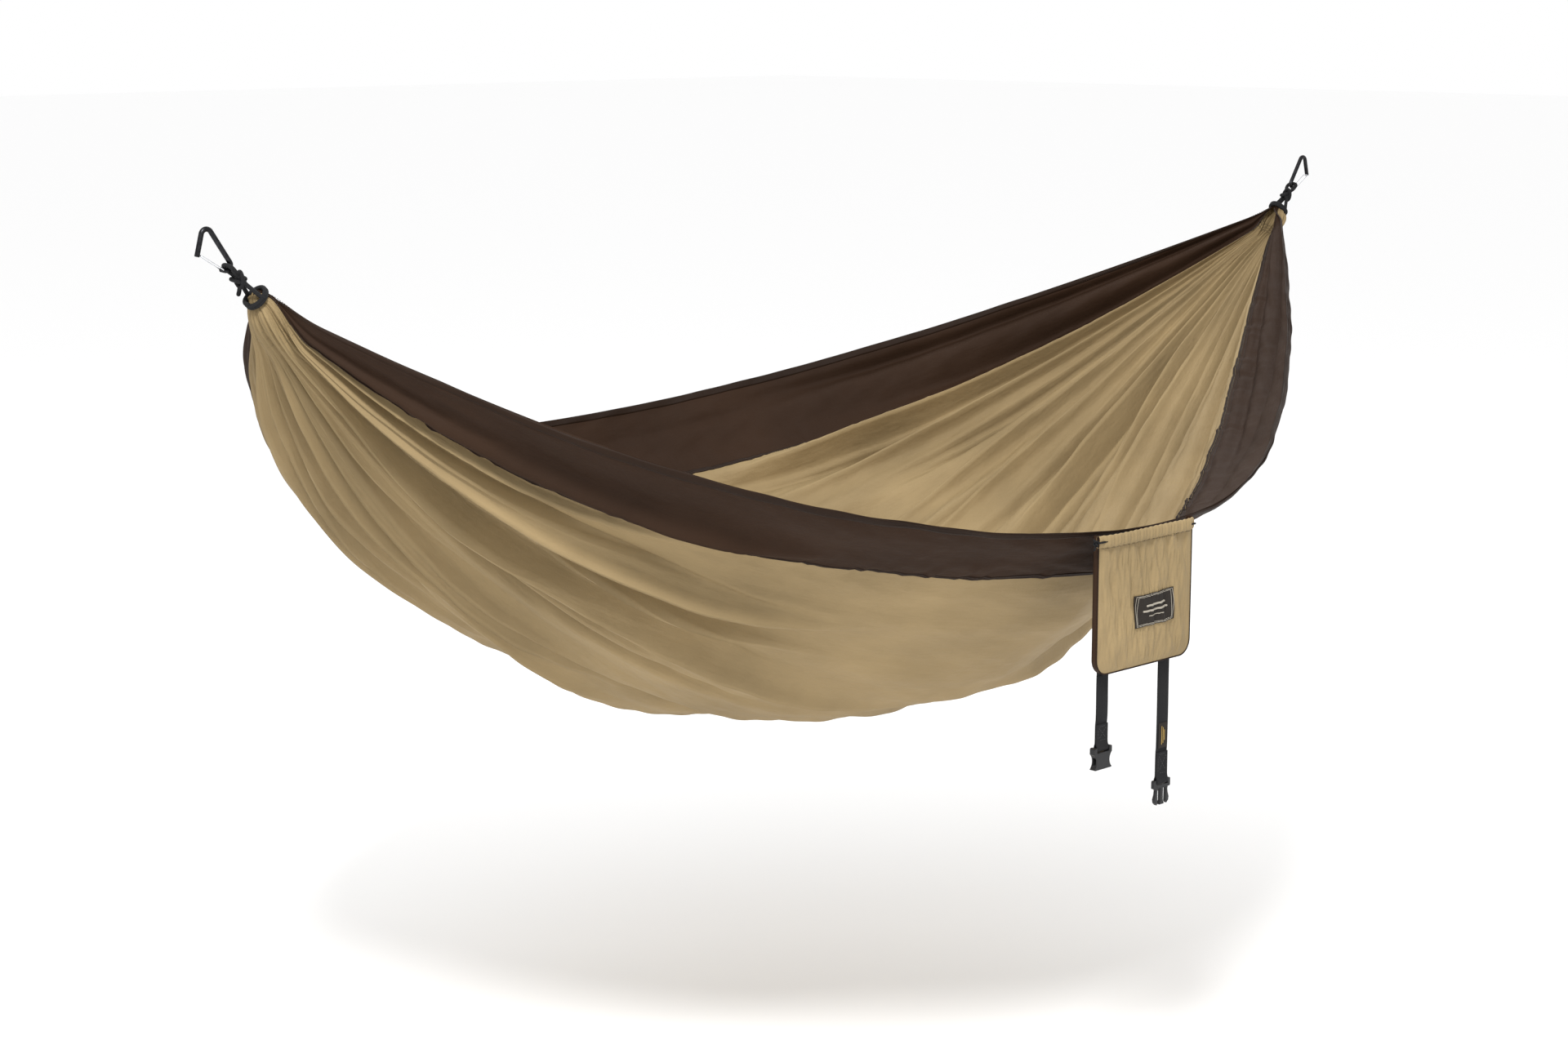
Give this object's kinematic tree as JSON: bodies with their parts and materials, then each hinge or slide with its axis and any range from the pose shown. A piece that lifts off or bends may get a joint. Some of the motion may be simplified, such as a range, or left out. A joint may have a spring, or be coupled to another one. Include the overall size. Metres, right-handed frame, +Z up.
{
  "type": "camping hammock",
  "caption": "Gathered-end nylon camping hammock with two side panels, end cords with wire-gate carabiners, and a hem pouch with side-release compression straps.",
  "frame": {"origin": "half way between the two strap seats, the inside tops of the carabiners", "axes": "+X from the left end to the right end, -Y towards the pouch side, +Z up"},
  "size_m": [2.4522, 1.4796, 0.8246],
  "materials": {
    "khaki_nylon": "fine ripstop-free nylon taffeta, slight sheen",
    "brown_nylon": "fine nylon taffeta, slight sheen",
    "black_cord": "braided nylon cord",
    "black_webbing": "woven nylon webbing",
    "black_anodised": "black anodised",
    "bright_wire": "polished stainless wire",
    "buckle_plastic": "moulded acetal, fine texture",
    "label_cloth": "woven label with a plain woven border"
  },
  "bodies": {
    "hammock": {"centre_panel": "khaki_nylon", "near_side_panel": "brown_nylon", "far_side_panel": "brown_nylon", "left_end_gather": "khaki_nylon", "right_end_gather": "khaki_nylon", "left_end_cord": "black_cord", "right_end_cord": "black_cord"},
    "left_carabiner": {"left_carabiner": "black_anodised"},
    "right_carabiner": {"right_carabiner": "black_anodised"},
    "left_gate": {"left_gate": "bright_wire"},
    "right_gate": {"right_gate": "bright_wire"},
    "pouch": {"pouch_back": "brown_nylon", "pouch_front": "khaki_nylon", "pouch_hem": "khaki_nylon", "pouch_drawcord": "black_cord", "pouch_label": "label_cloth", "strap_band": "black_webbing"},
    "short_strap": {"short_strap": "black_webbing"},
    "long_strap": {"long_strap": "black_webbing", "strap_tag": "label_cloth"},
    "female_buckle": {"female_buckle": "buckle_plastic"},
    "male_buckle": {"male_buckle": "buckle_plastic"},
    "male_arm_left": {"male_buckle_arm_left": "buckle_plastic"},
    "male_arm_right": {"male_buckle_arm_right": "buckle_plastic"}
  },
  "joints": [
    {"name": "left_carabiner_swing", "type": "hinge", "parent": "hammock", "child": "left_carabiner", "pos_m": [-1.17925, 0, -0.04379], "axis": [0, 1, 0], "range_deg": [-60, 60]},
    {"name": "right_carabiner_swing", "type": "hinge", "parent": "hammock", "child": "right_carabiner", "pos_m": [1.17925, 0, -0.04379], "axis": [0, 1, 0], "range_deg": [-60, 60]},
    {"name": "left_gate_open", "type": "hinge", "parent": "left_carabiner", "child": "left_gate", "pos_m": [-1.18541, 0, -0.04931], "axis": [0, 1, 0], "range_deg": [0, 28], "stiffness_Nm_per_rad": 0.05, "springref_deg": -8.59},
    {"name": "right_gate_open", "type": "hinge", "parent": "right_carabiner", "child": "right_gate", "pos_m": [1.18541, 0, -0.04931], "axis": [0, -1, 0], "range_deg": [0, 28], "stiffness_Nm_per_rad": 0.05, "springref_deg": -8.59},
    {"name": "pouch_swing", "type": "hinge", "parent": "hammock", "child": "pouch", "pos_m": [-0.223, -0.74875, -0.413], "axis": [-1, 0, 0], "range_deg": [-20, 120]},
    {"name": "short_strap_swing", "type": "hinge", "parent": "pouch", "child": "short_strap", "pos_m": [-0.298, -0.7486, -0.6112], "axis": [-1, 0, 0], "range_deg": [-30, 90]},
    {"name": "long_strap_swing", "type": "hinge", "parent": "pouch", "child": "long_strap", "pos_m": [-0.163, -0.7486, -0.6112], "axis": [-1, 0, 0], "range_deg": [-30, 90]},
    {"name": "female_buckle_pivot", "type": "hinge", "parent": "short_strap", "child": "female_buckle", "pos_m": [-0.298, -0.7486, -0.7112], "axis": [-1, 0, 0], "range_deg": [-40, 40]},
    {"name": "male_buckle_pivot", "type": "hinge", "parent": "long_strap", "child": "male_buckle", "pos_m": [-0.163, -0.7486, -0.7832], "axis": [-1, 0, 0], "range_deg": [-40, 40]},
    {"name": "left_arm_squeeze", "type": "hinge", "parent": "male_buckle", "child": "male_arm_left", "pos_m": [-0.174, -0.7486, -0.7938], "axis": [0, -1, 0], "range_deg": [0, 8], "stiffness_Nm_per_rad": 0.03, "springref_deg": -2.86},
    {"name": "right_arm_squeeze", "type": "hinge", "parent": "male_buckle", "child": "male_arm_right", "pos_m": [-0.152, -0.7486, -0.7938], "axis": [0, 1, 0], "range_deg": [0, 8], "stiffness_Nm_per_rad": 0.03, "springref_deg": -2.86}
  ],
  "couplings": [
    {"joint": "right_arm_squeeze", "follows": "left_arm_squeeze", "ratio": 1}
  ]
}
